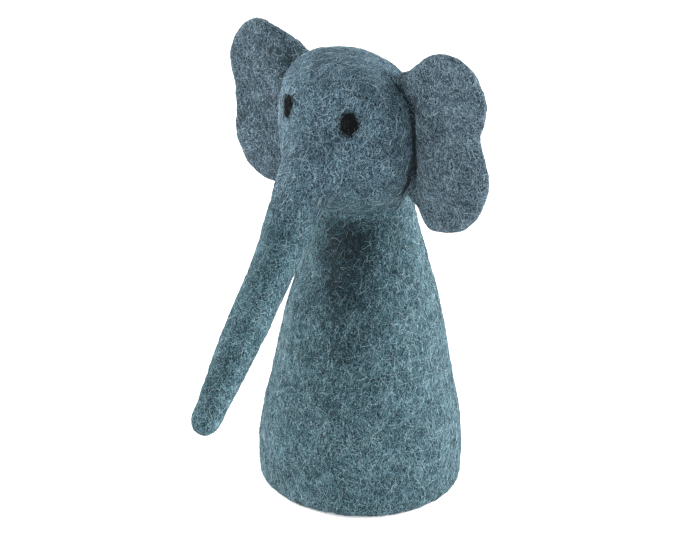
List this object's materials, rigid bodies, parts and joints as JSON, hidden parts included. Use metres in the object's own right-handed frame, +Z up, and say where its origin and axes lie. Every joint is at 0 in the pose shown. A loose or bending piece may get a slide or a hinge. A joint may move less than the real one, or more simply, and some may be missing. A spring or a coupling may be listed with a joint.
{
  "type": "felt animal puppet",
  "caption": "Hand-felted wool elephant puppet: open cone body for the fingers, egg-shaped head, flapping ears and a long bending trunk.",
  "frame": {"origin": "centre of the sleeve's open mouth, on the ground", "axes": "+Z up through the head, -Y the way the face looks, +X the puppet's own left"},
  "size_m": [0.0786, 0.0935, 0.121],
  "materials": {
    "blue_felt": "blue-grey wool felt, matted fibres with pale stray hairs",
    "ear_felt": "slightly greyer blue wool felt",
    "seam_wool": "needled wool, darker in the creases",
    "core_wool": "undyed core wool",
    "black_wool": "black needled wool"
  },
  "bodies": {
    "sleeve": {"body_sleeve": "blue_felt"},
    "neck": {"neck_seam": "seam_wool"},
    "head": {"head_skin": "blue_felt", "head_core": "core_wool", "left_eye": "black_wool", "right_eye": "black_wool", "left_ear_seam": "seam_wool", "right_ear_seam": "seam_wool"},
    "left_ear": {"left_ear": "ear_felt"},
    "right_ear": {"right_ear": "ear_felt"},
    "trunk_root": {"trunk_seam": "seam_wool"},
    "trunk_base": {"trunk_base": "blue_felt"},
    "trunk_mid": {"trunk_mid": "blue_felt"},
    "trunk_tip": {"trunk_tip": "blue_felt"}
  },
  "joints": [
    {"name": "head_turn", "type": "hinge", "parent": "sleeve", "child": "neck", "pos_m": [0, 0, 0.079], "axis": [0, 0, 1], "range_deg": [-30, 30], "stiffness_Nm_per_rad": 0.04},
    {"name": "head_nod", "type": "hinge", "parent": "neck", "child": "head", "pos_m": [0, 0, 0.079], "axis": [1, 0, 0], "range_deg": [-20, 20], "stiffness_Nm_per_rad": 0.07},
    {"name": "trunk_sway", "type": "hinge", "parent": "head", "child": "trunk_root", "pos_m": [0, -0.023, 0.0887], "axis": [0, -0.8192, 0.5736], "range_deg": [-30, 30], "stiffness_Nm_per_rad": 0.02},
    {"name": "trunk_lift", "type": "hinge", "parent": "trunk_root", "child": "trunk_base", "pos_m": [0, -0.023, 0.0887], "axis": [-1, 0, 0], "range_deg": [-15, 60], "stiffness_Nm_per_rad": 0.025},
    {"name": "trunk_curl", "type": "hinge", "parent": "trunk_base", "child": "trunk_mid", "pos_m": [0, -0.03562, 0.07068], "axis": [-1, 0, 0], "range_deg": [-15, 35], "stiffness_Nm_per_rad": 0.012},
    {"name": "trunk_tip_curl", "type": "hinge", "parent": "trunk_mid", "child": "trunk_tip", "pos_m": [0, -0.04946, 0.05358], "axis": [-1, 0, 0], "range_deg": [-15, 35], "stiffness_Nm_per_rad": 0.006},
    {"name": "left_ear_flap", "type": "hinge", "parent": "head", "child": "left_ear", "pos_m": [0.01895, -0.00323, 0.09827], "axis": [0, 0.1045, -0.9945], "range_deg": [-35, 50], "stiffness_Nm_per_rad": 0.006},
    {"name": "right_ear_flap", "type": "hinge", "parent": "head", "child": "right_ear", "pos_m": [-0.01895, -0.00323, 0.09827], "axis": [0, -0.1045, 0.9945], "range_deg": [-35, 50], "stiffness_Nm_per_rad": 0.006}
  ],
  "couplings": [
    {"joint": "trunk_tip_curl", "follows": "trunk_curl", "ratio": 1}
  ]
}
